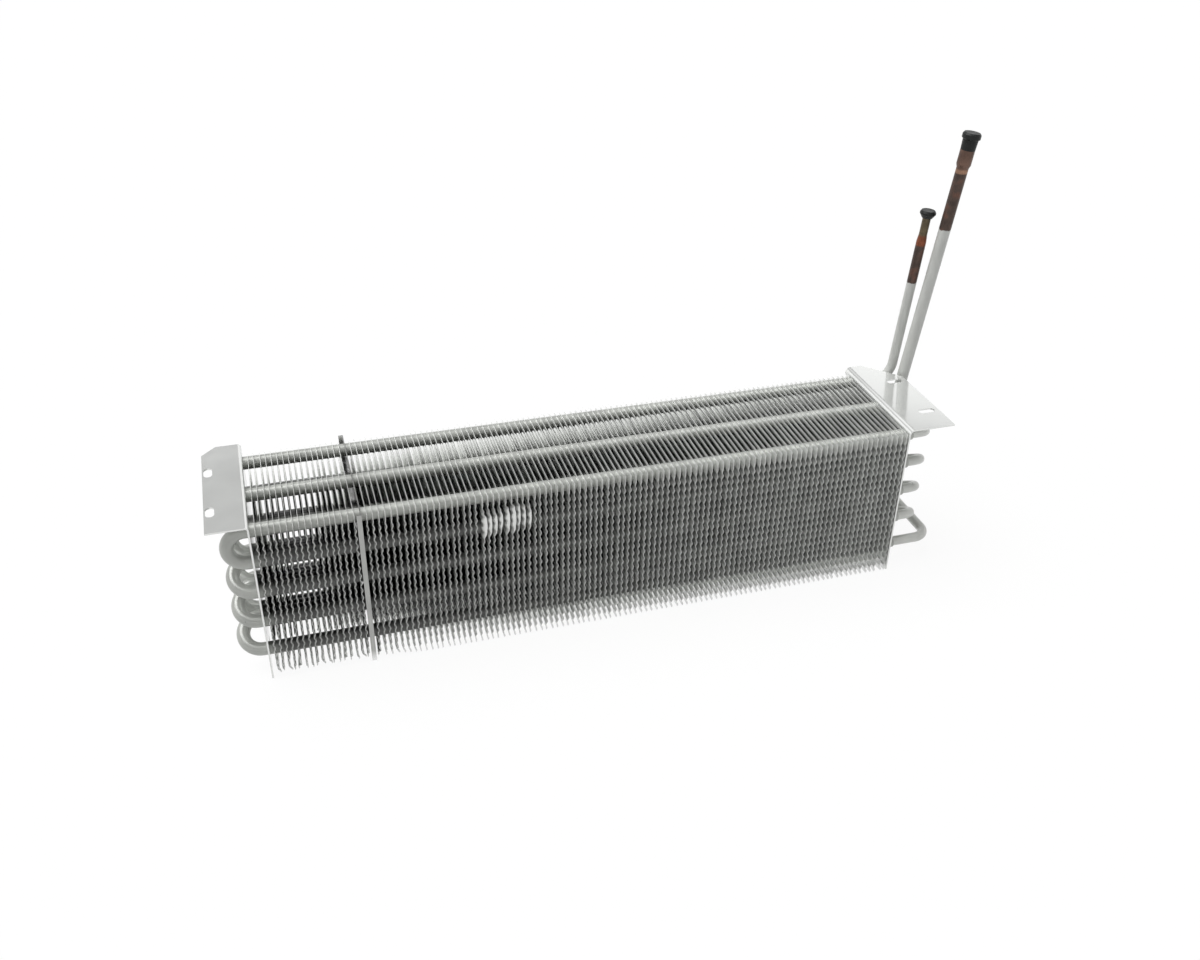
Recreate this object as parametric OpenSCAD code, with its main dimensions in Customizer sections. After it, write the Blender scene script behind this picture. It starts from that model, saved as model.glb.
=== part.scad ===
// Finned evaporator coil: staggered rows of hairpin tubes through a pack of thin fins,
// carried by two folded end plates, with a liquid line and a suction line at the right end.
// X runs along the coil to the right, Y from the front to the back, Z up.
// The origin is on the left end plate's bottom edge, under the middle column of tubes.

/* [Tube layout] */
// Height from one tube to the next in a column
row_pitch = 25.4; // [22:0.1:30]
// Depth from one column of tubes to the next
col_pitch = 22; // [20:0.5:26]
// Tubes in each column
n_rows = 5; // [5]
// Columns of tubes, the even ones half a row lower
n_cols = 5; // [5]

/* [Hairpin tubes] */
// Outside diameter of the hairpin tubes
tube_od = 9.5; // [8:0.1:10.5]
// Wall of the hairpin tubes
tube_wall = 0.8; // [0.5:0.1:1.2]
// Straight length outside the left plate before a hairpin turns
hairpin_stub = 2.6; // [1:0.1:6]
// Length of tube end that stands out of the right plate
tube_reach = 6; // [5:0.5:9]

/* [Return bends] */
// Gap round a bend inside the tube end it is brazed into
braze_gap = 0.1; // [0.05:0.01:0.15]
// Wall of the return bends and the crossover
bend_wall = 0.8; // [0.5:0.1:1.2]
// Depth that a bend goes into a tube end
bend_insert = 5; // [3:0.5:5]
// Straight length of a bend outside the tube end
bend_stub = 5; // [2:0.5:8]
// Distance of the crossover tube from the right plate
crossover_reach = 39.6; // [30:0.1:60]
// Bend radius of the crossover tube
crossover_r = 12; // [10:0.5:16]

/* [End plates] */
// Distance between the middle planes of the two end plates
plate_span = 487.2; // [300:0.1:900]
// Thickness of the end plates
plate_t = 1.2; // [0.8:0.1:2]
// Height of plate above the top row of tubes
plate_top = 9; // [8:0.1:16]
// Height of plate below the lowest hole
plate_foot = 7.2; // [6.5:0.1:20]
// Width of plate in front of the first column and behind the last
plate_edge = 10; // [8:0.1:16]
// Extra width at the back of the left plate
left_back_extra = 3; // [0:0.1:6]
// Inside radius of the fold between the left plate and its flange
left_fold_r = 1.5; // [0.8:0.1:3]
// Inside radius of the fold between the right plate and its flange
right_fold_r = 3; // [0.8:0.1:3]
// Radial gap round a tube in the end plates and the support
plate_hole_gap = 0.1; // [0.05:0.01:0.3]

/* [Left flange] */
// Width of the left flange from the plate's outer face
left_flange_w = 26.6; // [20:0.1:50]
// Length of the left flange's slots
left_slot_len = 11.8; // [8:0.1:20]
// Width of the left flange's slots
left_slot_w = 6; // [4:0.1:6]
// Distance from the middle of the left slots to the flange's outer edge
left_slot_edge = 4; // [4:0.1:10]
// Length of the cut corner along the left flange
left_cut_x = 10; // [2:0.5:16]
// Depth of the cut corner from the back
left_cut_y = 10.5; // [2:0.5:16]

/* [Right flange] */
// Width of the right flange from the plate's outer face
right_flange_w = 37; // [34:0.1:60]
// Length of the right flange's slots
right_slot_len = 13.6; // [8:0.1:16]
// Width of the right flange's slots
right_slot_w = 6; // [3:0.1:7]
// Distance from the middle of the right slots to the flange's outer edge
right_slot_edge = 10.2; // [9:0.1:16]
// Length of the cut corner along the right flange
right_cut_x = 24.5; // [20:0.5:30]
// Depth of the cut corner from the back
right_cut_y = 26; // [24:0.5:26]

/* [Flange slots] */
// Distance between the two slots of a flange
slot_spacing = 51; // [40:0.5:60]
// Distance of the slots' midpoint from the front edge
slot_mid = 50.6; // [40:0.1:55]

/* [Fins] */
// Number of fins on the left of the middle support
left_fins = 17; // [8:1:40]
// Distance from one fin to the next on the left of the support
left_pitch = 4; // [3:0.05:5]
// Number of fins on the right of the support
right_fins = 99; // [40:1:110]
// Fin thickness
fin_t = 0.25; // [0.15:0.05:0.4]
// Gap between the left end plate and the first fin
left_gap = 4.1; // [2:0.1:10]
// Gap between the last fin and the right end plate
right_gap = 1.9; // [1:0.1:10]
// Height of fin above the top row of tubes
fin_top = 6.35; // [5.5:0.05:8]
// Height of fin below the lowest hole
fin_foot = 6.35; // [5.5:0.05:7]
// Width of fin in front of the first column and behind the last
fin_edge = 11; // [6:0.1:12]
// Radial gap round a tube in a fin
fin_hole_gap = 0.05; // [0.02:0.01:0.1]
// Wall of the collar round the unused hole
collar_wall = 0.25; // [0.15:0.05:0.5]
// Gap between a collar and the next fin
collar_gap = 0.1; // [0.05:0.01:0.5]

/* [Middle support] */
// Gap between the support's folded edges and the fin to their left
support_clear = 1.4; // [0.2:0.1:3]
// Gap between the support and the first fin on its right
support_gap = 3.3; // [2:0.1:5]
// Thickness of the support sheet
support_t = 0.8; // [0.5:0.1:1]
// Width of the support's folded edges
support_fold = 3.4; // [2:0.1:4]

/* [Liquid line] */
// Distance of the liquid line from the right plate at the height of its tube
liquid_reach = 35; // [32:0.1:45]
// Bend radius of the liquid line
liquid_r = 15; // [12:0.5:18]
// Lean of the liquid line away from the coil, in degrees
liquid_lean = 4.1; // [0:0.1:10]
// Height of the liquid line's shoulder above its tube
liquid_rise = 119; // [60:1:200]
// Length of the tapered shoulder
liquid_shoulder = 6; // [3:0.5:12]
// Outside diameter of the thin end
neck_od = 6.4; // [5:0.1:7]
// Length of the thin end
neck_len = 13; // [8:0.5:30]

/* [Suction line] */
// Outside diameter of the suction line
suction_od = 9.2; // [8:0.1:9.5]
// Wall of the suction line
suction_wall = 0.8; // [0.5:0.1:1.2]
// Distance of the suction line's foot from the right plate
suction_reach = 38.8; // [37:0.1:45]
// Distance of the suction line's foot behind its tube
suction_back = 12; // [10:0.5:14]
// Distance from the right plate to the suction line's first turn
suction_jog = 18; // [16:0.5:20]
// Bend radius of the suction line
suction_r = 13; // [10:0.5:13.5]
// Lean of the suction line away from the coil, in degrees
suction_lean = 6.8; // [0:0.1:8]
// Height of the suction line's bell above its tube
suction_rise = 192; // [80:1:300]
// Length of the belled top end
bell_len = 11; // [6:0.5:20]
// Length of the socket over the tube end
socket_len = 5; // [3:0.5:5]
// Length of the taper from a bell to the pipe
bell_taper = 2.5; // [1:0.5:5]
// Radial gap inside the bell and the socket
bell_gap = 0.1; // [0.05:0.01:0.2]

/* [Rubber plugs] */
// Largest diameter of the liquid line's plug
liquid_plug_d = 12.4; // [10:0.1:16]
// Height of the liquid line's plug above the tube
liquid_plug_h = 6; // [4:0.5:12]
// Largest diameter of the suction line's plug
suction_plug_d = 14; // [12:0.1:18]
// Height of the suction line's plug above the bell
suction_plug_h = 13; // [8:0.5:20]
// Length of a plug inside the tube
plug_stem = 6; // [3:0.5:6]
// Radial gap round a plug's stem
plug_gap = 0.05; // [0.02:0.01:0.1]

/* [Hidden] */

// Every tube in the order the refrigerant takes, as column and place in the column.
// Hairpins join the 1st to the 2nd, the 3rd to the 4th and so on at the left end;
// return bends join the 2nd to the 3rd and so on at the right end.
CIRCUIT = [
    [5, 1], [5, 2], [4, 2], [3, 3], [4, 3], [5, 3], [5, 4], [4, 4],
    [3, 4], [3, 5], [4, 5], [5, 5], [1, 5], [2, 4], [1, 4], [2, 3],
    [1, 3], [2, 2], [1, 2], [1, 1], [2, 1], [3, 1], [3, 2], [4, 1]
];
// The hole with no tube in it
UNUSED = [2, 5];
// Joint along the circuit that the crossover makes, the others being return bends
CROSSOVER_JOINT = 6;

steel = [0.75, 0.76, 0.74];
fin_grey = [0.68, 0.7, 0.68];
tube_grey = [0.63, 0.64, 0.62];
copper = [0.45, 0.28, 0.2];
rubber = [0.14, 0.15, 0.15];

// Thin rings that close the joints of the two lines
joint_gap = 0.1;
joint_lip = 0.04;
joint_len = 0.8;

round_fn = 48;
sweep_fn = 96;
cut = 1;

tube_id = tube_od - 2 * tube_wall;
bend_od = tube_id - 2 * braze_gap;
bend_id = bend_od - 2 * bend_wall;
suction_id = suction_od - 2 * suction_wall;

plate_d = (n_cols - 1) * col_pitch + 2 * plate_edge;
fin_d = (n_cols - 1) * col_pitch + 2 * fin_edge;
column_h = (n_rows - 0.5) * row_pitch;
plate_h = plate_foot + column_h + plate_top;
fin_h = fin_foot + column_h + fin_top;
top_row_z = plate_foot + column_h;
fin_z = plate_foot - fin_foot;

left_face = -plate_t / 2;
right_face = plate_span + plate_t / 2;
tube_end = right_face + tube_reach;
left_first = plate_t / 2 + left_gap;
support_x = left_first + (left_fins - 1) * left_pitch + fin_t + support_clear;
right_first = support_x + support_fold + support_gap;
right_last = plate_span - plate_t / 2 - right_gap - fin_t;
right_pitch = (right_last - right_first) / (right_fins - 1);

// Room for a collar behind the last fin of each section
left_room = fin_t + support_clear + support_fold - support_t;
right_room = fin_t + right_gap;

// Last fin of each group on the right of the support
RIGHT_GROUPS = [0, round(right_fins / 3), round(right_fins * 2 / 3), right_fins];

// Centre of a tube in the Y and Z directions
function tube_at(p) = [
    (p[0] - (n_cols + 1) / 2) * col_pitch,
    top_row_z - (p[1] - 1 + (p[0] % 2 == 0 ? 0.5 : 0)) * row_pitch
];

function unit(v) = v / norm(v);
function turn_angle(a, b) = acos(unit(a) * unit(b));

// Axis directions that stand square to a direction
function side_of(d) = abs(d[2]) < 0.9 ? unit(cross([0, 0, 1], d)) : unit(cross([0, 1, 0], d));

// Moves the children so that their X, Y and Z axes lie along x, y and z from a point
module placed(o, x, y, z) {
    multmatrix([
        [x[0], y[0], z[0], o[0]],
        [x[1], y[1], z[1], o[1]],
        [x[2], y[2], z[2], o[2]],
        [0, 0, 0, 1]
    ])
    children();
}

module tube_ring(od, id) {
    difference() {
        circle(d = od, $fn = round_fn);
        circle(d = id, $fn = round_fn);
    }
}

// Straight tube from one point to another
module straight(a, b, od, id) {
    d = unit(b - a);
    s = side_of(d);
    placed(a, s, cross(d, s), d)
    linear_extrude(height = norm(b - a))
    tube_ring(od, id);
}

// Curved tube that turns from direction d1 to d2 round the corner p
module curved(p, d1, d2, r, od, id) {
    angle = turn_angle(d1, d2);
    start = p - d1 * r * tan(angle / 2);
    inward = unit(d2 - d1 * (d1 * d2));
    placed(start + inward * r, -inward, d1, cross(-inward, d1))
    rotate_extrude(angle = angle, $fn = sweep_fn)
    translate([r, 0])
    tube_ring(od, id);
}

// Tube along a run of points with a round bend at each corner
module tube_run(pts, r, od, id) {
    n = len(pts);
    dirs = [for (i = [0 : n - 2]) unit(pts[i + 1] - pts[i])];
    trim = [for (i = [0 : n - 1])
        i == 0 || i == n - 1 ? 0 : r * tan(turn_angle(dirs[i - 1], dirs[i]) / 2)];
    for (i = [0 : n - 2]) {
        straight(pts[i] + dirs[i] * trim[i], pts[i + 1] - dirs[i] * trim[i + 1], od, id);
    }
    for (i = [1 : n - 2]) {
        curved(pts[i], dirs[i - 1], dirs[i], r, od, id);
    }
}

// U of tube with its legs at p and q, open towards +X, its legs ending at x = leg
module u_tube(p, q, leg, od, id) {
    r = norm(q - p) / 2;
    v = unit(q - p);
    mid = (p + q) / 2;
    placed([0, mid[0], mid[1]], [0, v[0], v[1]], [-1, 0, 0], [0, -v[1], v[0]]) {
        for (s = [-1, 1]) {
            translate([s * r, 0, 0])
            rotate([90, 0, 0])
            linear_extrude(height = leg)
            tube_ring(od, id);
        }
        rotate_extrude(angle = 180, $fn = sweep_fn)
        translate([r, 0])
        tube_ring(od, id);
    }
}

module hairpin(k) {
    p = tube_at(CIRCUIT[2 * k - 2]);
    q = tube_at(CIRCUIT[2 * k - 1]);
    bend_x = left_face - hairpin_stub;
    color(tube_grey)
    translate([bend_x, 0, 0])
    u_tube(p, q, tube_end - bend_x, tube_od, tube_id);
}

// k counts the return bends along the circuit, passing over the crossover
module return_bend(k) {
    joint = k < CROSSOVER_JOINT ? k : k + 1;
    p = tube_at(CIRCUIT[2 * joint - 1]);
    q = tube_at(CIRCUIT[2 * joint]);
    color(tube_grey)
    translate([tube_end + bend_stub, 0, 0])
    mirror([1, 0, 0])
    u_tube(p, q, bend_stub + bend_insert, bend_od, bend_id);
}

module crossover_tube() {
    p = tube_at(CIRCUIT[2 * CROSSOVER_JOINT - 1]);
    q = tube_at(CIRCUIT[2 * CROSSOVER_JOINT]);
    inner = tube_end - bend_insert;
    outer = right_face + crossover_reach;
    pts = [
        [inner, p[0], p[1]],
        [outer, p[0], p[1]],
        [outer, q[0], q[1]],
        [inner, q[0], q[1]]
    ];
    color(tube_grey)
    tube_run(pts, crossover_r, bend_od, bend_id);
}

module tube_holes(d) {
    for (c = [1 : n_cols], r = [1 : n_rows]) {
        translate(tube_at([c, r]))
        circle(d = d, $fn = round_fn);
    }
}

// Sheet that stands across the coil, drawn in Y and Z and lying from x to x + t
module standing_sheet(x, t) {
    translate([x, 0, 0])
    rotate([90, 0, 90])
    linear_extrude(height = t)
    children();
}

// Section of an end plate: the standing sheet, the fold and the flange, outwards to the right
module plate_profile(flange_w, fold_r) {
    outer_r = fold_r + plate_t;
    translate([0, 0])
    square([plate_t, plate_h - outer_r]);
    translate([outer_r, plate_h - plate_t])
    square([flange_w + plate_t - outer_r, plate_t]);
    translate([outer_r, plate_h - outer_r])
    intersection() {
        difference() {
            circle(r = outer_r, $fn = round_fn);
            circle(r = fold_r, $fn = round_fn);
        }
        translate([-outer_r, 0])
        square(outer_r);
    }
}

// Straight slot with round ends, drawn along X
module slot_outline(length, width) {
    for (s = [-1, 1]) {
        translate([s * (length - width) / 2, 0])
        circle(d = width, $fn = round_fn);
    }
    square([length - width, width], center = true);
}

// End plate with its flange towards +X; slots run along the flange when along is true
module end_plate(flange_w, fold_r, extra, slot_len, slot_w, slot_edge, along, cut_x, cut_y) {
    outer = flange_w + plate_t;
    back_y = plate_d / 2 + extra;
    difference() {
        translate([0, back_y, 0])
        rotate([90, 0, 0])
        linear_extrude(height = plate_d + extra)
        plate_profile(flange_w, fold_r);
        standing_sheet(-cut, plate_t + 2 * cut)
        tube_holes(tube_od + 2 * plate_hole_gap);
        for (s = [-1, 1]) {
            translate([outer - slot_edge, slot_mid - plate_d / 2 + s * slot_spacing / 2, plate_h - plate_t - cut])
            linear_extrude(height = plate_t + 2 * cut)
            rotate(along ? 90 : 0)
            slot_outline(slot_len, slot_w);
        }
        translate([0, 0, plate_h - plate_t - cut])
        linear_extrude(height = plate_t + 2 * cut)
        polygon([
            [outer - cut_x, back_y],
            [outer, back_y - cut_y],
            [outer + cut, back_y - cut_y],
            [outer + cut, back_y + cut],
            [outer - cut_x, back_y + cut]
        ]);
    }
}

module left_end_plate() {
    color(steel)
    translate([plate_t / 2, 0, 0])
    mirror([1, 0, 0])
    end_plate(
        left_flange_w, left_fold_r, left_back_extra,
        left_slot_len, left_slot_w, left_slot_edge, true, left_cut_x, left_cut_y
    );
}

module right_end_plate() {
    color(steel)
    translate([plate_span - plate_t / 2, 0, 0])
    end_plate(
        right_flange_w, right_fold_r, 0,
        right_slot_len, right_slot_w, right_slot_edge, false, right_cut_x, right_cut_y
    );
}

module middle_support() {
    color(steel) {
        standing_sheet(support_x + support_fold - support_t, support_t)
        difference() {
            translate([-fin_d / 2, fin_z])
            square([fin_d, fin_h]);
            tube_holes(tube_od + 2 * plate_hole_gap);
        }
        for (s = [-1, 1]) {
            translate([support_x, s * (fin_d - support_t) / 2 - support_t / 2, fin_z])
            cube([support_fold, support_t, fin_h]);
        }
    }
}

// One fin, with the open collar of the unused hole standing towards the next fin
module fin(collar_len) {
    hole_d = tube_od + 2 * fin_hole_gap;
    standing_sheet(0, fin_t)
    difference() {
        translate([-fin_d / 2, fin_z])
        square([fin_d, fin_h]);
        tube_holes(hole_d);
    }
    standing_sheet(0, collar_len)
    translate(tube_at(UNUSED))
    difference() {
        circle(d = hole_d + 2 * collar_wall, $fn = round_fn);
        circle(d = hole_d, $fn = round_fn);
    }
}

module fins_left() {
    color(fin_grey)
    for (i = [0 : left_fins - 1]) {
        translate([left_first + i * left_pitch, 0, 0])
        fin((i < left_fins - 1 ? left_pitch : min(left_pitch, left_room)) - collar_gap);
    }
}

// Fins of one group on the right of the support
module fins_right_group(g) {
    color(fin_grey)
    for (i = [RIGHT_GROUPS[g - 1] : RIGHT_GROUPS[g] - 1]) {
        translate([right_first + i * right_pitch, 0, 0])
        fin((i < right_fins - 1 ? right_pitch : min(right_pitch, right_room)) - collar_gap);
    }
}

// Direction of a line that leans away from the coil
function leaning(angle) = [sin(angle), 0, cos(angle)];

// Turns the children so that their Z axis lies along a leaning line that passes through p
module along_line(p, angle) {
    translate(p)
    rotate([0, angle, 0])
    children();
}

// Thin ring that closes the joint between two stretches of pipe
module pipe_joint(od, id) {
    translate([0, 0, -joint_len / 2])
    linear_extrude(height = joint_len)
    tube_ring(od + 2 * joint_lip, id - 2 * joint_lip);
}

// Tube along Z, with a joint at its end that the children carry on from
module tube_leg(start, length, od, id) {
    translate([0, 0, start])
    linear_extrude(height = length - joint_gap - start)
    tube_ring(od, id);
    translate([0, 0, length]) {
        pipe_joint(od, id);
        children();
    }
}

// Bend from Z towards X, with a joint at its end that the children carry on from
module tube_bend(angle, r, od, id) {
    placed([r, 0, 0], [-1, 0, 0], [0, 0, 1], [0, 1, 0])
    rotate_extrude(angle = angle, $fn = sweep_fn)
    translate([r, 0])
    tube_ring(od, id);
    translate([r, 0, 0])
    rotate([0, angle, 0])
    translate([-r, 0, 0]) {
        pipe_joint(od, id);
        children();
    }
}

liquid_tube = tube_at(CIRCUIT[0]);
liquid_corner = [right_face + liquid_reach, liquid_tube[0], liquid_tube[1]];
liquid_len = liquid_rise / cos(liquid_lean);
liquid_turn = 90 - liquid_lean;
liquid_trim = liquid_r * tan(liquid_turn / 2);
liquid_end = liquid_corner + leaning(liquid_lean) * (liquid_len + liquid_shoulder + neck_len);

// Pipe, shoulder and thin end of the liquid line
module liquid_line() {
    start_x = tube_end - bend_insert;
    color(copper)
    placed([start_x, liquid_tube[0], liquid_tube[1]], [0, 0, 1], [0, -1, 0], [1, 0, 0])
    tube_leg(0, liquid_corner[0] - liquid_trim - start_x, bend_od, bend_id)
    tube_bend(liquid_turn, liquid_r, bend_od, bend_id)
    rotate_extrude($fn = round_fn)
    polygon([
        [bend_od / 2, joint_gap],
        [bend_od / 2, liquid_len - liquid_trim],
        [neck_od / 2, liquid_len - liquid_trim + liquid_shoulder],
        [neck_od / 2, liquid_len - liquid_trim + liquid_shoulder + neck_len],
        [neck_od / 2 - bend_wall, liquid_len - liquid_trim + liquid_shoulder + neck_len],
        [neck_od / 2 - bend_wall, liquid_len - liquid_trim + liquid_shoulder],
        [bend_id / 2, liquid_len - liquid_trim],
        [bend_id / 2, joint_gap]
    ]);
}

suction_tube = tube_at(CIRCUIT[len(CIRCUIT) - 1]);
suction_turn_x = right_face + suction_jog;
suction_corner = [right_face + suction_reach, suction_tube[0] + suction_back, suction_tube[1]];
suction_across = unit([suction_corner[0] - suction_turn_x, suction_back, 0]);
suction_up = leaning(suction_lean);
suction_len = suction_rise / cos(suction_lean);
suction_end = suction_corner + suction_up * (suction_len + bell_taper + bell_len);
bell_bore_r = suction_od / 2 + bell_gap;
socket_bore_r = tube_od / 2 + bell_gap;

// Pipe with a socket over its tube end and a bell at the top
module suction_line() {
    socket_x = tube_end + bell_taper;
    turn_1 = turn_angle([1, 0, 0], suction_across);
    turn_2 = turn_angle(suction_across, suction_up);
    trim_1 = suction_r * tan(turn_1 / 2);
    trim_2 = suction_r * tan(turn_2 / 2);
    towards = unit(suction_up - suction_across * (suction_across * suction_up));
    roll = turn_angle([-suction_across[1], suction_across[0], 0], towards);
    diagonal = norm([suction_corner[0] - suction_turn_x, suction_back]);
    foot = suction_turn_x - trim_1 - socket_x - joint_gap;
    pipe = suction_len - trim_2;
    color(copper)
    placed([socket_x, suction_tube[0], suction_tube[1]], [0, 1, 0], [0, 0, 1], [1, 0, 0]) {
        rotate_extrude($fn = round_fn)
        polygon([
            [suction_od / 2, foot],
            [suction_od / 2, 0],
            [socket_bore_r + suction_wall, -bell_taper],
            [socket_bore_r + suction_wall, -bell_taper - socket_len],
            [socket_bore_r, -bell_taper - socket_len],
            [socket_bore_r, -bell_taper],
            [suction_id / 2, 0],
            [suction_id / 2, foot]
        ]);
        translate([0, 0, foot + joint_gap])
        pipe_joint(suction_od, suction_id);
        translate([0, 0, foot + joint_gap])
        tube_bend(turn_1, suction_r, suction_od, suction_id)
        tube_leg(joint_gap, diagonal - trim_1 - trim_2, suction_od, suction_id)
        rotate([0, 0, roll])
        tube_bend(turn_2, suction_r, suction_od, suction_id)
        rotate_extrude($fn = round_fn)
        polygon([
            [suction_od / 2, joint_gap],
            [suction_od / 2, pipe],
            [bell_bore_r + suction_wall, pipe + bell_taper],
            [bell_bore_r + suction_wall, pipe + bell_taper + bell_len],
            [bell_bore_r, pipe + bell_taper + bell_len],
            [bell_bore_r, pipe + bell_taper],
            [suction_id / 2, pipe],
            [suction_id / 2, joint_gap]
        ]);
    }
}

module liquid_plug() {
    rim_r = neck_od / 2;
    stem_r = rim_r - bend_wall - plug_gap;
    head_r = liquid_plug_d / 2;
    color(rubber)
    along_line(liquid_end, liquid_lean)
    rotate_extrude($fn = round_fn)
    polygon([
        [0, -plug_stem],
        [stem_r, -plug_stem],
        [stem_r, 0],
        [rim_r + 0.8, 0],
        [head_r, liquid_plug_h * 0.55],
        [head_r, liquid_plug_h * 0.75],
        [head_r - 1, liquid_plug_h],
        [0, liquid_plug_h]
    ]);
}

module suction_plug() {
    rim_r = bell_bore_r + suction_wall;
    head_r = suction_plug_d / 2;
    color(rubber)
    along_line(suction_end, suction_lean)
    rotate_extrude($fn = round_fn)
    polygon([
        [0, -plug_stem],
        [bell_bore_r - plug_gap, -plug_stem],
        [bell_bore_r - plug_gap, 0],
        [rim_r, 0],
        [rim_r + 0.4, suction_plug_h * 0.6],
        [head_r, suction_plug_h * 0.68],
        [head_r, suction_plug_h * 0.9],
        [head_r - 1, suction_plug_h],
        [0, suction_plug_h]
    ]);
}

left_end_plate();
right_end_plate();
middle_support();
fins_left();
fins_right_group(1);  // fins_mid_left
fins_right_group(2);  // fins_mid_right
fins_right_group(3);  // fins_right
hairpin(1);  // hairpin_01
hairpin(2);  // hairpin_02
hairpin(3);  // hairpin_03
hairpin(4);  // hairpin_04
hairpin(5);  // hairpin_05
hairpin(6);  // hairpin_06
hairpin(7);  // hairpin_07
hairpin(8);  // hairpin_08
hairpin(9);  // hairpin_09
hairpin(10);  // hairpin_10
hairpin(11);  // hairpin_11
hairpin(12);  // hairpin_12
return_bend(1);  // return_bend_01
return_bend(2);  // return_bend_02
return_bend(3);  // return_bend_03
return_bend(4);  // return_bend_04
return_bend(5);  // return_bend_05
return_bend(6);  // return_bend_06
return_bend(7);  // return_bend_07
return_bend(8);  // return_bend_08
return_bend(9);  // return_bend_09
return_bend(10);  // return_bend_10
crossover_tube();
liquid_line();
suction_line();
liquid_plug();
suction_plug();
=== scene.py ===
"""Dresses the evaporator coil: rippled fins, coated tubes, galvanised end plates,
grey-painted lines with bare copper ends, and black plugs, on a plain pale stage."""

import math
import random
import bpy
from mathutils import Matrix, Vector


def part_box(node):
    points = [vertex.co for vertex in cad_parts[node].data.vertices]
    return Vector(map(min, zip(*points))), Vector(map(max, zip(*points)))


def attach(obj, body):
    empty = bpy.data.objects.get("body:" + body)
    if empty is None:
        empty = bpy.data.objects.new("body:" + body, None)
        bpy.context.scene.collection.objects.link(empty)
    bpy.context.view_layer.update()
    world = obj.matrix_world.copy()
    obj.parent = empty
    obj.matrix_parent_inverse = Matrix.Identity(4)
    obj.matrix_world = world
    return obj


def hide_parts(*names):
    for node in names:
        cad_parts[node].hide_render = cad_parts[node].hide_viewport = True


bl_info = {
    "name": "Evaporator Coil",
    "version": (1, 0, 0),
    "blender": (4, 5, 0),
    "location": "View3D > Sidebar > Coil",
    "description": "Builds the fins and finishes of a finned tube evaporator coil",
    "category": "Object",
}

import bmesh
import bpy
from mathutils import Matrix, Vector

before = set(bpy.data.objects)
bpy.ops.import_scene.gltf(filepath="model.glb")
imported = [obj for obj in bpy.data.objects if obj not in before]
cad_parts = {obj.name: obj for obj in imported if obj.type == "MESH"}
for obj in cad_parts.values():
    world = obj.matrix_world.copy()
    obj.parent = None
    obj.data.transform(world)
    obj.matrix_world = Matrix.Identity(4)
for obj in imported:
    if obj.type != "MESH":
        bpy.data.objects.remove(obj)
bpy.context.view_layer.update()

MM = 0.001

# How many fins each CAD node holds, and the distance from one to the next
FIN_BLOCKS = {
    "fins_left": (17, 4.0 * MM),
    "fins_mid_left": (33, 4.15714 * MM),
    "fins_mid_right": (33, 4.15714 * MM),
    "fins_right": (33, 4.15714 * MM),
}
PLATE_NODES = ("left_end_plate", "right_end_plate")
SUPPORT_NODE = "middle_support"
HAIRPINS = tuple(n for n in sorted(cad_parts) if n.startswith("hairpin_"))
RETURN_BENDS = tuple(n for n in sorted(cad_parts) if n.startswith("return_bend_"))

# Where the fins end at the front, the back and the top
FIN_FRONT = -55.0 * MM
FIN_BACK = 55.0 * MM
FIN_TOP = 127.85 * MM
# Where the fins' stack begins and ends along the coil, and the height of the top row of tubes
STACK_LEFT = 2.0 * MM
STACK_RIGHT = 487.0 * MM
TUBE_TOP_ROW = 121.5 * MM

# The first fin of the second block whose front edge is folded over, and how many are
FIRST_FOLDED = 19
FOLDED = 9

# The photograph's width and focal length in pixels, and its viewpoint in metres
PHOTO_WIDTH = 1200.0
PHOTO_FOCAL = 1189.87
CAMERA_PLACE = (0.0291, -0.7299, 0.5804)
CAMERA_AHEAD = (0.2521, 0.8039, -0.5387)
CAMERA_UP = (0.1409, 0.5203, 0.8423)
SENSOR_MM = 36.0


# Sizes and colours that a user would change


class CoilFinSettings(bpy.types.PropertyGroup):
    """Sizes and colours of the fins"""

    ripple_height: bpy.props.FloatProperty(
        name="Ripple Height",
        description="How far a ripple stands out of the fin's flat plane",
        default=0.68 * MM,
        unit="LENGTH",
    )
    ripple_length: bpy.props.FloatProperty(
        name="Ripple Length",
        description="Height of one full ripple",
        default=6.3 * MM,
        unit="LENGTH",
    )
    crest: bpy.props.FloatProperty(
        name="Crest",
        description="Height of one crest above the coil's lower edge",
        default=65.3 * MM,
        unit="LENGTH",
    )
    flat_top: bpy.props.FloatProperty(
        name="Flat Top",
        description="Height of the flat band above the first ripple",
        default=11 * MM,
        unit="LENGTH",
    )
    fold_back: bpy.props.FloatProperty(
        name="Fold Back",
        description="How far a folded front edge lies behind the straight ones",
        default=1.3 * MM,
        unit="LENGTH",
    )
    sheet: bpy.props.FloatProperty(
        name="Sheet",
        description="Thickness of the fin sheet",
        default=0.32 * MM,
        unit="LENGTH",
    )
    colour: bpy.props.FloatVectorProperty(
        name="Colour",
        description="Colour of the bare aluminium",
        default=(0.87, 0.88, 0.86),
        size=3,
        subtype="COLOR",
    )


class CoilPlateSettings(bpy.types.PropertyGroup):
    """Finish of the end plates and the middle support"""

    colour: bpy.props.FloatVectorProperty(
        name="Colour",
        description="Colour of the galvanised sheet",
        default=(0.85, 0.86, 0.845),
        size=3,
        subtype="COLOR",
    )
    support: bpy.props.FloatVectorProperty(
        name="Support",
        description="Colour of the middle support",
        default=(0.42, 0.425, 0.41),
        size=3,
        subtype="COLOR",
    )
    gloss: bpy.props.FloatProperty(
        name="Roughness",
        description="Roughness of the galvanised sheet",
        default=0.1,
        min=0.0,
        max=1.0,
        subtype="FACTOR",
    )


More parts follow.
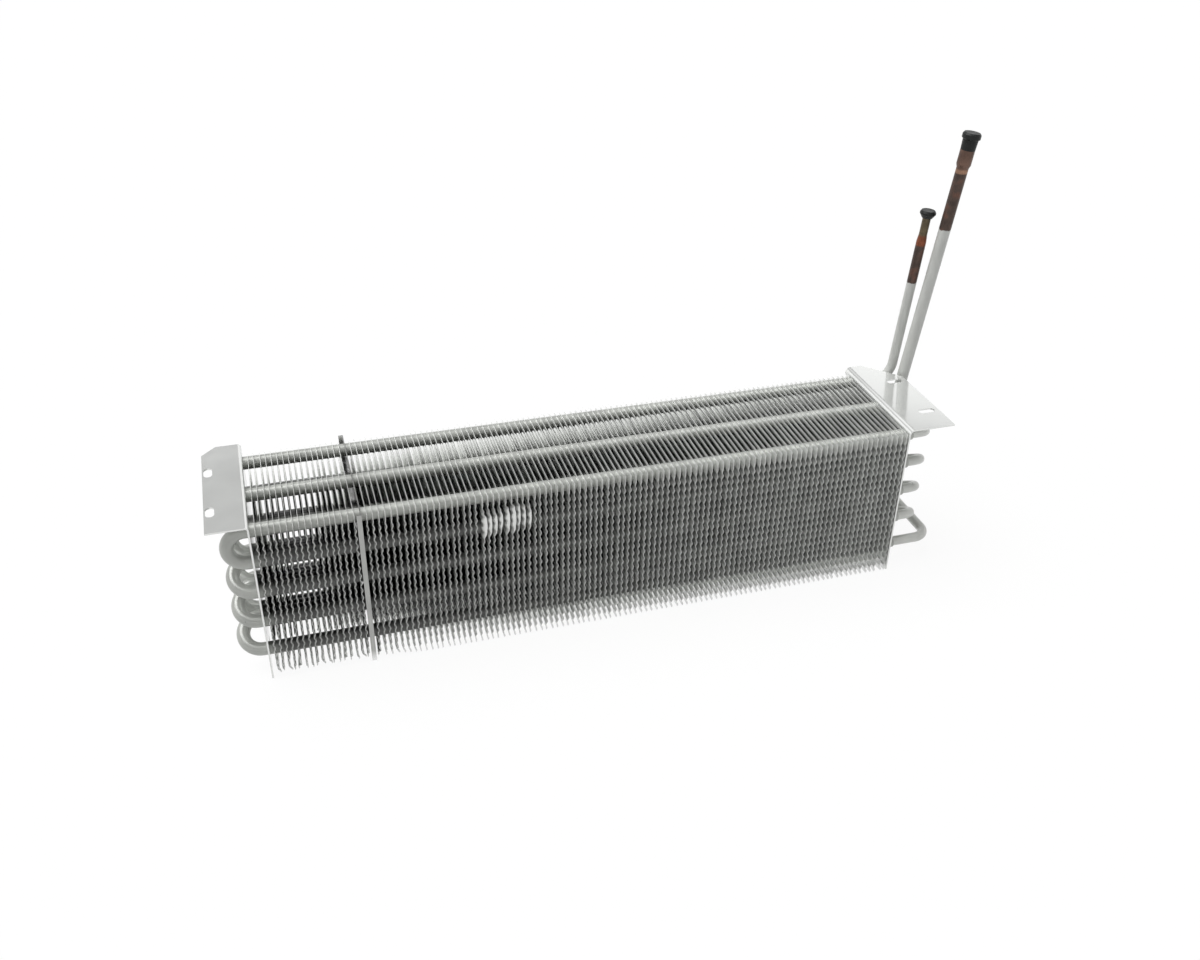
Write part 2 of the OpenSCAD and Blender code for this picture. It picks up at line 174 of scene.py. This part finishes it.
class CoilTubeSettings(bpy.types.PropertyGroup):
    """Finish of the hairpins, the return bends and the crossover"""

    colour: bpy.props.FloatVectorProperty(
        name="Colour",
        description="Colour of the grey coat",
        default=(0.42, 0.43, 0.405),
        size=3,
        subtype="COLOR",
    )
    bends: bpy.props.FloatVectorProperty(
        name="Bends",
        description="Colour of the return bends and the crossover",
        default=(0.64, 0.65, 0.62),
        size=3,
        subtype="COLOR",
    )
    # Painted shade: the share of the colour left on the tubes between the fins
    inside: bpy.props.FloatProperty(
        name="Inside",
        description="How much of the colour is left on the tubes between the fins",
        default=0.3,
        min=0.0,
        max=1.0,
        subtype="FACTOR",
    )
    roughness: bpy.props.FloatProperty(
        name="Roughness",
        description="Roughness of the grey coat",
        default=0.34,
        min=0.0,
        max=1.0,
        subtype="FACTOR",
    )


class CoilLineSettings(bpy.types.PropertyGroup):
    """Colours of the two lines and where their paint ends"""

    paint: bpy.props.FloatVectorProperty(
        name="Paint",
        description="Colour of the grey paint",
        default=(0.6, 0.61, 0.585),
        size=3,
        subtype="COLOR",
    )
    copper: bpy.props.FloatVectorProperty(
        name="Copper",
        description="Colour of the tarnished copper",
        default=(0.075, 0.05, 0.04),
        size=3,
        subtype="COLOR",
    )
    liquid_paint_end: bpy.props.FloatProperty(
        name="Liquid Line Paint",
        description="Height at which the liquid line's paint ends",
        default=206.6 * MM,
        unit="LENGTH",
    )
    suction_paint_end: bpy.props.FloatProperty(
        name="Suction Line Paint",
        description="Height at which the suction line's paint ends",
        default=253.5 * MM,
        unit="LENGTH",
    )


class CoilPlugSettings(bpy.types.PropertyGroup):
    """Finish of the two plugs"""

    colour: bpy.props.FloatVectorProperty(
        name="Colour",
        description="Colour of the rubber",
        default=(0.008, 0.009, 0.009),
        size=3,
        subtype="COLOR",
    )


class CoilStageSettings(bpy.types.PropertyGroup):
    """Light and floor of the stage"""

    sky: bpy.props.FloatProperty(
        name="Sky",
        description="Strength of the soft light from all round",
        default=0.38,
        min=0.0,
    )
    lamp: bpy.props.FloatProperty(
        name="Lamp",
        description="Strength of the soft lamp from above",
        default=2.3,
        min=0.0,
    )
    shadow: bpy.props.FloatProperty(
        name="Shadow",
        description="Share of the floor that keeps its shadow",
        default=0.09,
        min=0.0,
        max=1.0,
        subtype="FACTOR",
    )


# Materials


def new_material(name):
    """A new material, with its node tree, its shader and the piece's own coordinates."""
    mat = bpy.data.materials.new(name)
    mat.use_nodes = True
    tree = mat.node_tree
    shader = tree.nodes["Principled BSDF"]
    coords = tree.nodes.new("ShaderNodeTexCoord")
    return mat, tree, shader, coords.outputs["Object"]


def add_noise(tree, coords, scale, detail=3.0, stretch=(1.0, 1.0, 1.0)):
    """Noise on the piece's own coordinates, stretched along an axis if asked."""
    mapping = tree.nodes.new("ShaderNodeMapping")
    mapping.inputs["Scale"].default_value = stretch
    tree.links.new(coords, mapping.inputs["Vector"])
    texture = tree.nodes.new("ShaderNodeTexNoise")
    texture.inputs["Scale"].default_value = scale
    texture.inputs["Detail"].default_value = detail
    tree.links.new(mapping.outputs["Vector"], texture.inputs["Vector"])
    return texture.outputs["Fac"]


def add_ramp(tree, fac, stops):
    """Colour ramp with the given positions and colours."""
    ramp = tree.nodes.new("ShaderNodeValToRGB")
    elements = ramp.color_ramp.elements
    while len(elements) < len(stops):
        elements.new(0.5)
    for element, (position, colour) in zip(elements, stops):
        element.position = position
        element.color = (*colour, 1.0)
    tree.links.new(fac, ramp.inputs["Fac"])
    return ramp.outputs["Color"]


def add_range(tree, fac, low, high, to_low, to_high, kind="LINEAR"):
    """Maps a value from one range to another, clamped."""
    node = tree.nodes.new("ShaderNodeMapRange")
    node.interpolation_type = kind
    for key, value in (
        ("From Min", low),
        ("From Max", high),
        ("To Min", to_low),
        ("To Max", to_high),
    ):
        node.inputs[key].default_value = value
    tree.links.new(fac, node.inputs["Value"])
    return node.outputs["Result"]


def add_mix(tree, fac, first, second):
    """Mixes two colours; either may be a fixed colour or a socket."""
    node = tree.nodes.new("ShaderNodeMix")
    node.data_type = "RGBA"
    if hasattr(fac, "is_linked"):
        tree.links.new(fac, node.inputs["Factor"])
    else:
        node.inputs["Factor"].default_value = fac
    for key, value in (("A", first), ("B", second)):
        socket = [s for s in node.inputs if s.name == key and s.type == "RGBA"][0]
        if hasattr(value, "is_linked"):
            tree.links.new(value, socket)
        else:
            socket.default_value = (*value, 1.0)
    return [s for s in node.outputs if s.type == "RGBA"][0]


def add_bump(tree, shader, height, distance, strength=1.0):
    """Bump from a height socket, with its depth in metres."""
    bump = tree.nodes.new("ShaderNodeBump")
    bump.inputs["Distance"].default_value = distance
    bump.inputs["Strength"].default_value = strength
    tree.links.new(height, bump.inputs["Height"])
    tree.links.new(bump.outputs["Normal"], shader.inputs["Normal"])


def add_math(tree, operation, first, second):
    """One math node on sockets or numbers."""
    node = tree.nodes.new("ShaderNodeMath")
    node.operation = operation
    for socket, value in zip(node.inputs, (first, second)):
        if hasattr(value, "is_linked"):
            tree.links.new(value, socket)
        else:
            socket.default_value = value
    return node.outputs[0]


def shade(colour, factor):
    """A colour made darker or lighter."""
    return tuple(min(1.0, c * factor) for c in colour)


def galvanised_sheet(colour, roughness):
    """Smooth galvanised steel with faint clouds in its gloss, duller along its front edge."""
    mat, tree, shader, coords = new_material("galvanised_sheet")
    clouds = add_noise(tree, coords, 38.0, 4.0)
    tint = add_ramp(tree, clouds, ((0.3, shade(colour, 0.95)), (0.7, shade(colour, 1.02))))
    tree.links.new(tint, shader.inputs["Base Color"])
    gloss = add_range(tree, clouds, 0.3, 0.7, roughness * 0.85, roughness * 1.25)
    tree.links.new(gloss, shader.inputs["Roughness"])
    split = tree.nodes.new("ShaderNodeSeparateXYZ")
    tree.links.new(coords, split.inputs["Vector"])
    front = add_range(tree, split.outputs["Y"], FIN_FRONT - 1 * MM, FIN_FRONT + 1 * MM, 1.0, 0.0)
    under_flange = FIN_TOP - 2.85 * MM
    upright = add_range(tree, split.outputs["Z"], under_flange - 3 * MM, under_flange, 1.0, 0.0)
    metal = add_range(tree, add_math(tree, "MULTIPLY", front, upright), 0.0, 1.0, 0.55, 0.1)
    tree.links.new(metal, shader.inputs["Metallic"])
    grain = add_noise(tree, coords, 900.0, 2.0, (0.15, 1.0, 1.0))
    add_bump(tree, shader, grain, 0.02 * MM, 0.25)
    return mat


def fin_aluminium(name, colour, dull):
    """Rolled aluminium: a mirror deep inside, with painted light along the front and top edges,
    where less mirror makes them read bright as if lit from above; polished along the back edge
    and the foot, and painted white there as a painted reflection of the white behind it.

    dull is how much of the metal's mirror is lost along the painted-light edges."""
    mat, tree, shader, coords = new_material(name)
    split = tree.nodes.new("ShaderNodeSeparateXYZ")
    tree.links.new(coords, split.inputs["Vector"])
    height, depth = split.outputs["Z"], split.outputs["Y"]
    # Painted light: near the top and front edges the mirror gives way to a bright dull look, as if lit
    # from above
    top = add_range(tree, height, FIN_TOP - 3.25 * MM, FIN_TOP - 0.45 * MM, 0.0, 0.8, "SMOOTHSTEP")
    front = add_range(tree, depth, FIN_FRONT + 0.5 * MM, FIN_FRONT + 13 * MM, 0.9, 0.0)
    painted_edge_light = add_math(tree, "MAXIMUM", top, front)
    # Painted reflection: the back edge and the foot are painted white, besides being polished
    back = add_range(tree, depth, FIN_BACK - 10 * MM, FIN_BACK - 6 * MM, 0.0, 1.0, "SMOOTHSTEP")
    foot = add_range(tree, height, 1 * MM, 12 * MM, 0.8, 0.0, "SMOOTHSTEP")
    polish_and_painted_reflection = add_math(tree, "MAXIMUM", back, foot)
    marks = add_noise(tree, coords, 60.0, 5.0)
    stops = ((0.25, shade(colour, 0.85)), (0.6, colour), (0.85, shade(colour, 1.06)))
    tint = add_ramp(tree, marks, stops)
    tree.links.new(add_mix(tree, polish_and_painted_reflection, tint, (1.0, 1.0, 1.0)), shader.inputs["Base Color"])
    rough = add_range(tree, marks, 0.3, 0.7, 0.13, 0.23)
    gloss = add_math(tree, "MULTIPLY", rough, add_range(tree, polish_and_painted_reflection, 0.0, 1.0, 1.0, 0.35))
    tree.links.new(gloss, shader.inputs["Roughness"])
    kept = add_math(tree, "SUBTRACT", 1.0, add_math(tree, "MULTIPLY", painted_edge_light, dull))
    metal = add_math(tree, "MAXIMUM", kept, back)
    tree.links.new(metal, shader.inputs["Metallic"])
    grain = add_noise(tree, coords, 1400.0, 2.0, (1.0, 0.2, 1.0))
    add_bump(tree, shader, grain, 0.02 * MM, 0.3)
    return mat


def coated_tube(name, colour, roughness, inside):
    """Grey coat on copper tube, a little glossy, with dull patches.

    inside is how much of the colour is left between the fins, below the top row: painted shade, where
    the fins keep the light off the tubes."""
    mat, tree, shader, coords = new_material(name)
    split = tree.nodes.new("ShaderNodeSeparateXYZ")
    tree.links.new(coords, split.inputs["Vector"])
    along = split.outputs["X"]
    left = add_range(tree, along, STACK_LEFT, STACK_LEFT + 10 * MM, 0.0, 1.0)
    right = add_range(tree, along, STACK_RIGHT - 7 * MM, STACK_RIGHT, 1.0, 0.0)
    # Painted shade: between the fins, below the top row, the coat is painted darker
    under_row = TUBE_TOP_ROW - 5.5 * MM
    below = add_range(tree, split.outputs["Z"], under_row - 4 * MM, under_row, 1.0, 0.0)
    within = add_math(tree, "MULTIPLY", add_math(tree, "MULTIPLY", left, right), below)
    patches = add_noise(tree, coords, 45.0, 5.0)
    tint = add_ramp(tree, patches, ((0.3, shade(colour, 0.86)), (0.65, shade(colour, 1.06))))
    dark, light = shade(colour, 0.86 * inside), shade(colour, 1.06 * inside)
    painted_shade = add_ramp(tree, patches, ((0.3, dark), (0.65, light)))
    tree.links.new(add_mix(tree, within, tint, painted_shade), shader.inputs["Base Color"])
    gloss = add_range(tree, patches, 0.3, 0.7, roughness * 0.8, roughness * 1.25)
    tree.links.new(gloss, shader.inputs["Roughness"])
    tree.links.new(add_range(tree, within, 0.0, 1.0, 0.25, 0.0), shader.inputs["Metallic"])
    shader.inputs["Coat Weight"].default_value = 0.25
    shader.inputs["Coat Roughness"].default_value = 0.12
    dents = add_noise(tree, coords, 260.0, 2.0)
    add_bump(tree, shader, dents, 0.04 * MM, 0.2)
    return mat


def line_material(name, paint, copper, paint_end, bands):
    """Grey paint up to a ragged edge, then tarnished copper with coloured bands above it.

    bands are (height, softness, colour) of what follows the copper, from the bottom up."""
    mat, tree, shader, coords = new_material(name)
    split = tree.nodes.new("ShaderNodeSeparateXYZ")
    tree.links.new(coords, split.inputs["Vector"])
    height = split.outputs["Z"]

    runs = add_noise(tree, coords, 220.0, 4.0, (1.0, 1.0, 0.25))
    spots = add_noise(tree, coords, 130.0, 5.0)
    bare = add_ramp(
        tree,
        spots,
        (
            (0.25, shade(copper, 0.55)),
            (0.5, copper),
            (0.68, (copper[0] * 1.7, copper[1] * 1.25, copper[2] * 1.1)),
            (0.85, shade(copper, 1.2)),
        ),
    )
    for level, soft, colour in bands:
        edge = add_range(tree, height, level - soft, level + soft, 0.0, 1.0, "SMOOTHSTEP")
        cloudy = add_ramp(tree, spots, ((0.3, shade(colour, 0.65)), (0.7, shade(colour, 1.25))))
        bare = add_mix(tree, edge, bare, cloudy)

    ragged = add_math(tree, "MULTIPLY_ADD", runs, 5.0 * MM)
    ragged.node.inputs[2].default_value = -2.5 * MM
    wavy = add_math(tree, "ADD", height, ragged)
    painted = add_range(tree, wavy, paint_end - 0.25 * MM, paint_end + 0.25 * MM, 1.0, 0.0)
    coat = add_ramp(tree, runs, ((0.25, shade(paint, 0.9)), (0.75, shade(paint, 1.06))))
    tree.links.new(add_mix(tree, painted, bare, coat), shader.inputs["Base Color"])
    metal = add_range(tree, painted, 0.0, 1.0, 0.55, 0.0)
    tree.links.new(metal, shader.inputs["Metallic"])
    gloss = add_range(tree, painted, 0.0, 1.0, 0.42, 0.36)
    tree.links.new(gloss, shader.inputs["Roughness"])
    coat_step = add_math(tree, "MULTIPLY", painted, 0.7)
    step = add_math(tree, "ADD", coat_step, add_math(tree, "MULTIPLY", spots, 0.3))
    add_bump(tree, shader, step, 0.15 * MM, 0.6)
    return mat


def plug_rubber(colour):
    """Black rubber with dusty patches."""
    mat, tree, shader, coords = new_material("plug_rubber")
    dust = add_noise(tree, coords, 180.0, 5.0)
    tint = add_ramp(tree, dust, ((0.35, colour), (0.75, shade(colour, 2.4))))
    tree.links.new(tint, shader.inputs["Base Color"])
    gloss = add_range(tree, dust, 0.3, 0.7, 0.32, 0.55)
    tree.links.new(gloss, shader.inputs["Roughness"])
    shader.inputs["Specular IOR Level"].default_value = 0.22
    return mat


def dress(node, mat):
    """Gives a CAD node its finish."""
    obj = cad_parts[node]
    obj.data.materials.clear()
    obj.data.materials.append(mat)


# Fins


def smooth_step(low, high, value):
    """0 below low, 1 above high, and a smooth rise between them."""
    t = min(1.0, max(0.0, (value - low) / (high - low)))
    return t * t * (3.0 - 2.0 * t)


def fin_blank(low, high, sheet):
    """One flat fin at x = 0 with the unused hole near its lower edge."""
    rows = 100
    hole_y, hole_z, hole_r = -22 * MM, low.z + 6.35 * MM, 4.8 * MM
    # Half the width of the square of faces that the hole is cut from
    cell_half = 6.35 * MM
    # Widths of the band that bends along an edge and of the strip that folds over in it
    edge = 5 * MM
    strip = 2.2 * MM
    depth = (
        low.y,
        low.y + strip,
        low.y + edge,
        hole_y - cell_half,
        hole_y + cell_half,
        high.y - edge,
        high.y,
    )
    bm = bmesh.new()
    bmesh.ops.create_grid(bm, x_segments=len(depth) - 1, y_segments=rows, size=0.5)
    for v in bm.verts:
        column = round((v.co.x + 0.5) * (len(depth) - 1))
        v.co = Vector((0.0, depth[column], low.z + (v.co.y + 0.5) * (high.z - low.z)))
    cell = [
        f
        for f in bm.faces
        if abs(f.calc_center_median().y - hole_y) < cell_half
        and abs(f.calc_center_median().z - hole_z) < cell_half
    ]
    ring = bmesh.ops.dissolve_faces(bm, faces=cell)["region"]
    bmesh.ops.inset_region(bm, faces=ring, thickness=1 * MM)
    for v in ring[0].verts:
        spoke = Vector((0.0, v.co.y - hole_y, v.co.z - hole_z)).normalized()
        v.co = Vector((0.0, hole_y, hole_z)) + spoke * hole_r
    bmesh.ops.delete(bm, geom=ring, context="FACES")
    bmesh.ops.recalc_face_normals(bm, faces=bm.faces)
    bmesh.ops.solidify(bm, geom=bm.faces[:], thickness=sheet)
    return bm


def folded_front_edges():
    """Fins whose front edge is folded over, as (x, middle height, half height, fold)."""
    rng = random.Random(11)
    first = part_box("fins_mid_left")[0].x
    pitch = FIN_BLOCKS["fins_mid_left"][1]
    # The fold that sits highest, its height in mm, and how much lower each next one sits
    highest, height, step = 6, 108, 0.8
    fins = []
    for k in range(FOLDED):
        x = first + pitch * (FIRST_FOLDED + k)
        middle = (height - abs(k - highest) * step + rng.uniform(-1.2, 1.2)) * MM
        half = rng.uniform(8.5, 13.0) * MM
        fins.append((x, middle, half, rng.uniform(1.9, 3.0) * MM))
    return fins


def folded_over(x, y, z, front, folds):
    """How far the front edge is folded over here, 0 to 1, and the width of that fold."""
    for fold_x, middle, half, fold in folds:
        along = (z - middle) / half
        if abs(x - fold_x) < 1 * MM and abs(along) < 1.0 and y < front + 1 * MM:
            return (1.0 - along * along) ** 0.6, fold
    return 0.0, 0.0


def bend_fin(x, y, z, low, high, shape):
    """Shift of one point of a fin from handling: its lean, its curl and its crushed foot."""
    lean, curl, ruffle = shape
    at_front = 1.0 - smooth_step(low.y, low.y + 5 * MM, y)
    foot = 1.0 - smooth_step(low.z, low.z + 9 * MM, z)
    # The feet are crushed at the left end of the coil, and less and less beyond it
    left = 1.0 - smooth_step(70 * MM, 115 * MM, x)
    crushed = foot * left
    dx = lean * smooth_step(low.z + 20 * MM, high.z, z)
    dx += curl * at_front * math.sin((z - low.z) / (high.z - low.z) * math.pi)
    dx += ruffle * foot * (0.25 + 0.75 * left) * (0.4 + 0.6 * at_front)
    dx += crushed * ruffle * math.sin(y / (5 * MM) + ruffle * 900)
    dz = crushed * (3.5 * MM + 0.6 * abs(ruffle))
    # The top edge drops a little towards its back corner
    at_back = smooth_step(high.y - 7 * MM, high.y, y)
    dz -= 2.5 * MM * at_back * smooth_step(high.z - 4 * MM, high.z, z)
    return dx, dz


class COIL_OT_fins(bpy.types.Operator):
    """Makes the rippled fins in place of the flat ones"""

    bl_idname = "coil.fins"
    bl_label = "Fins"

    def execute(self, context):
        settings = context.scene.coil_fins
        # The fins' material paints light on their front and top edges and a white reflection on their
        # back and foot
        mat = fin_aluminium("fin_aluminium", tuple(settings.colour), dull=0.75)
        folds = folded_front_edges()
        rng = random.Random(5)
        for node, (count, pitch) in FIN_BLOCKS.items():
            low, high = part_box(node)
            blank = fin_blank(low, high, settings.sheet)
            bm = bmesh.new()
            source = bpy.data.meshes.new(node + "_blank")
            blank.to_mesh(source)
            blank.free()
            for k in range(count):
                bm.from_mesh(source)
                x0 = low.x + k * pitch
                # Lean, curl and ruffle of this fin
                shape = (
                    rng.gauss(0.0, 0.18) * MM,
                    rng.gauss(0.0, 0.16) * MM,
                    rng.gauss(0.0, 1.3) * MM,
                )
                bm.verts.ensure_lookup_table()
                for v in bm.verts[-len(source.vertices):]:
                    y, z = v.co.y, v.co.z
                    below = smooth_step(0.5 * settings.flat_top, settings.flat_top, high.z - z)
                    rise = 0.2 + 0.8 * below
                    wave = math.cos(2 * math.pi * (z - settings.crest) / settings.ripple_length)
                    flat, fold = folded_over(x0, y, z, low.y, folds)
                    dx, dz = bend_fin(x0, y, z, low, high, shape)
                    v.co.x += x0 + settings.ripple_height * rise * wave * (1.0 - flat) + dx + fold * flat
                    v.co.y += settings.fold_back * flat
                    v.co.z += dz
            piece = mesh_piece(node + "_rippled", bm, mat)
            bpy.data.meshes.remove(source)
            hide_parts(node)
            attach(piece, "root")
        return {"FINISHED"}


def mesh_piece(name, bm, mat, sharp=40.0):
    """Finished object from a bmesh, smooth but for its sharp edges."""
    for f in bm.faces:
        f.smooth = True
    for e in bm.edges:
        if len(e.link_faces) == 2 and e.calc_face_angle(0.0) > math.radians(sharp):
            e.smooth = False
    mesh = bpy.data.meshes.new(name)
    bm.to_mesh(mesh)
    bm.free()
    mesh.materials.append(mat)
    obj = bpy.data.objects.new(name, mesh)
    bpy.context.scene.collection.objects.link(obj)
    return obj


# Finishes of the pieces that CAD already shapes


class COIL_OT_plates(bpy.types.Operator):
    """Gives the end plates their galvanised finish and the middle support a dull one, with the same
    painted light on its edges as the fins
    """

    bl_idname = "coil.plates"
    bl_label = "Plates"

    def execute(self, context):
        settings = context.scene.coil_plates
        mat = galvanised_sheet(tuple(settings.colour), settings.gloss)
        for node in PLATE_NODES:
            dress(node, mat)
        # The support takes the fins' material, with its painted light on the edges and its painted white
        # back and foot
        dress(SUPPORT_NODE, fin_aluminium("support_sheet", tuple(settings.support), dull=0.3))
        return {"FINISHED"}


class COIL_OT_tubes(bpy.types.Operator):
    """Gives the hairpins, the return bends and the crossover their grey coat"""

    bl_idname = "coil.tubes"
    bl_label = "Tubes"

    def execute(self, context):
        settings = context.scene.coil_tubes
        mat = coated_tube("tube_coat", tuple(settings.colour), settings.roughness, settings.inside)
        for node in HAIRPINS:
            dress(node, mat)
        pale = coated_tube("bend_coat", tuple(settings.bends), settings.roughness, inside=1.0)
        for node in (*RETURN_BENDS, "crossover_tube"):
            dress(node, pale)
        return {"FINISHED"}


class COIL_OT_lines(bpy.types.Operator):
    """Paints the two lines and leaves their copper ends bare"""

    bl_idname = "coil.lines"
    bl_label = "Lines"

    def execute(self, context):
        settings = context.scene.coil_lines
        paint, copper = tuple(settings.paint), tuple(settings.copper)
        liquid = line_material(
            "liquid_line_finish",
            paint,
            copper,
            settings.liquid_paint_end,
            ((237.5 * MM, 1.0 * MM, (0.2, 0.06, 0.025)), (245.5 * MM, 1.5 * MM, (0.13, 0.1, 0.055))),
        )
        suction = line_material(
            "suction_line_finish",
            paint,
            copper,
            settings.suction_paint_end,
            ((297.0 * MM, 0.5 * MM, (0.3, 0.17, 0.11)), (300.0 * MM, 0.8 * MM, (0.13, 0.075, 0.055))),
        )
        dress("liquid_line", liquid)
        dress("suction_line", suction)
        return {"FINISHED"}


class COIL_OT_plugs(bpy.types.Operator):
    """Gives the two plugs their rubber finish"""

    bl_idname = "coil.plugs"
    bl_label = "Plugs"

    def execute(self, context):
        mat = plug_rubber(tuple(context.scene.coil_plugs.colour))
        dress("liquid_plug", mat)
        dress("suction_plug", mat)
        return {"FINISHED"}


# Stage


class COIL_OT_stage(bpy.types.Operator):
    """Sets up the camera, the pale floor, the white surroundings and the soft lamp"""

    bl_idname = "coil.stage"
    bl_label = "Stage"

    def execute(self, context):
        scene = context.scene
        settings = scene.coil_stage
        scene.view_settings.view_transform = "Standard"
        self.camera(scene)
        self.floor(scene, settings)
        self.surroundings(scene, settings)
        self.lamp(scene, settings)
        return {"FINISHED"}

    def camera(self, scene):
        """A camera at the photograph's viewpoint."""
        data = bpy.data.cameras.new("camera")
        data.sensor_width = SENSOR_MM
        data.lens = SENSOR_MM * PHOTO_FOCAL / PHOTO_WIDTH
        data.clip_start = 0.01
        data.clip_end = 60.0
        camera = bpy.data.objects.new("camera", data)
        ahead = Vector(CAMERA_AHEAD).normalized()
        right = ahead.cross(Vector(CAMERA_UP)).normalized()
        up = right.cross(ahead)
        turn = Matrix((right, up, -ahead)).transposed().to_4x4()
        camera.matrix_world = Matrix.Translation(CAMERA_PLACE) @ turn
        scene.collection.objects.link(camera)
        scene.camera = camera

    def floor(self, scene, settings):
        """A wide pale floor that the camera sees as white, with a faint shadow."""
        bm = bmesh.new()
        bmesh.ops.create_grid(bm, x_segments=1, y_segments=1, size=14.0)
        bmesh.ops.translate(bm, verts=bm.verts, vec=(0.25, 0.0, -0.0002))
        mat = bpy.data.materials.new("floor_white")
        mat.use_nodes = True
        tree = mat.node_tree
        tree.nodes.clear()
        out = tree.nodes.new("ShaderNodeOutputMaterial")
        plain = tree.nodes.new("ShaderNodeBsdfDiffuse")
        plain.inputs["Color"].default_value = (0.86, 0.86, 0.86, 1.0)
        white = tree.nodes.new("ShaderNodeEmission")
        white.inputs["Strength"].default_value = 1.02
        mix = tree.nodes.new("ShaderNodeMixShader")
        seen = add_math(tree, "MULTIPLY", seen_directly(tree), 1.0 - settings.shadow)
        tree.links.new(seen, mix.inputs["Fac"])
        tree.links.new(plain.outputs[0], mix.inputs[1])
        tree.links.new(white.outputs[0], mix.inputs[2])
        tree.links.new(mix.outputs[0], out.inputs["Surface"])
        mesh_piece("floor", bm, mat)

    def surroundings(self, scene, settings):
        """White seen directly, a grey band of ceiling in reflections, soft light for the rest."""
        world = bpy.data.worlds.new("studio")
        scene.world = world
        world.use_nodes = True
        tree = world.node_tree
        tree.nodes.clear()
        out = tree.nodes.new("ShaderNodeOutputWorld")
        coords = tree.nodes.new("ShaderNodeTexCoord")
        split = tree.nodes.new("ShaderNodeSeparateXYZ")
        tree.links.new(coords.outputs["Generated"], split.inputs["Vector"])
        white_wall = (1.0, 1.0, 1.0)
        grey_band = (0.3, 0.3, 0.3)
        stops = ((0.468, white_wall), (0.482, grey_band), (0.6, grey_band), (0.68, white_wall))
        ceiling = add_ramp(tree, split.outputs["Z"], stops)
        path = tree.nodes.new("ShaderNodeLightPath")
        soft = tree.nodes.new("ShaderNodeBackground")
        soft.inputs["Strength"].default_value = settings.sky
        white = tree.nodes.new("ShaderNodeBackground")
        white.inputs["Color"].default_value = (1.0, 1.0, 1.0, 1.0)
        mirrored = tree.nodes.new("ShaderNodeBackground")
        mirrored.inputs["Strength"].default_value = 1.15
        tree.links.new(ceiling, mirrored.inputs["Color"])
        gloss = tree.nodes.new("ShaderNodeMixShader")
        tree.links.new(path.outputs["Is Glossy Ray"], gloss.inputs["Fac"])
        tree.links.new(soft.outputs[0], gloss.inputs[1])
        tree.links.new(mirrored.outputs[0], gloss.inputs[2])
        camera_ray, clear_ray = path.outputs["Is Camera Ray"], path.outputs["Is Transmission Ray"]
        direct = add_math(tree, "MAXIMUM", camera_ray, clear_ray)
        mix = tree.nodes.new("ShaderNodeMixShader")
        tree.links.new(direct, mix.inputs["Fac"])
        tree.links.new(gloss.outputs[0], mix.inputs[1])
        tree.links.new(white.outputs[0], mix.inputs[2])
        tree.links.new(mix.outputs[0], out.inputs["Surface"])

    def lamp(self, scene, settings):
        """One wide lamp from above, a little from the back and the left."""
        data = bpy.data.lights.new("soft_lamp", "SUN")
        data.energy = settings.lamp
        data.angle = math.radians(50)
        lamp = bpy.data.objects.new("soft_lamp", data)
        towards = Vector((0.4, -0.14, -0.9))
        lamp.rotation_mode = "QUATERNION"
        lamp.rotation_quaternion = towards.to_track_quat("-Z", "Y")
        scene.collection.objects.link(lamp)


def seen_directly(tree):
    """1 where a ray comes straight from the camera, a reflection or clear glass."""
    path = tree.nodes.new("ShaderNodeLightPath")
    first = add_math(tree, "MAXIMUM", path.outputs["Is Camera Ray"], path.outputs["Is Glossy Ray"])
    return add_math(tree, "MAXIMUM", first, path.outputs["Is Transmission Ray"])


class COIL_PT_panel(bpy.types.Panel):
    """Steps that make the coil, in order"""

    bl_label = "Evaporator Coil"
    bl_space_type = "VIEW_3D"
    bl_region_type = "UI"
    bl_category = "Coil"

    def draw(self, context):
        layout = self.layout
        scene = context.scene
        for operator, settings in (
            (COIL_OT_stage, scene.coil_stage),
            (COIL_OT_plates, scene.coil_plates),
            (COIL_OT_fins, scene.coil_fins),
            (COIL_OT_tubes, scene.coil_tubes),
            (COIL_OT_lines, scene.coil_lines),
            (COIL_OT_plugs, scene.coil_plugs),
        ):
            box = layout.box()
            box.operator(operator.bl_idname)
            for key in settings.__annotations__:
                box.prop(settings, key)


SETTINGS = {
    "coil_stage": CoilStageSettings,
    "coil_plates": CoilPlateSettings,
    "coil_fins": CoilFinSettings,
    "coil_tubes": CoilTubeSettings,
    "coil_lines": CoilLineSettings,
    "coil_plugs": CoilPlugSettings,
}
OPERATORS = (
    COIL_OT_stage,
    COIL_OT_plates,
    COIL_OT_fins,
    COIL_OT_tubes,
    COIL_OT_lines,
    COIL_OT_plugs,
)


def register():
    for cls in (*SETTINGS.values(), *OPERATORS, COIL_PT_panel):
        bpy.utils.register_class(cls)
    for key, cls in SETTINGS.items():
        setattr(bpy.types.Scene, key, bpy.props.PointerProperty(type=cls))


def unregister():
    for key in SETTINGS:
        delattr(bpy.types.Scene, key)
    for cls in reversed((*SETTINGS.values(), *OPERATORS, COIL_PT_panel)):
        bpy.utils.unregister_class(cls)


def main():
    register()
    bpy.ops.coil.stage()
    bpy.ops.coil.plates()
    bpy.ops.coil.fins()
    bpy.ops.coil.tubes()
    bpy.ops.coil.lines()
    bpy.ops.coil.plugs()


if __name__ == "__main__":
    main()
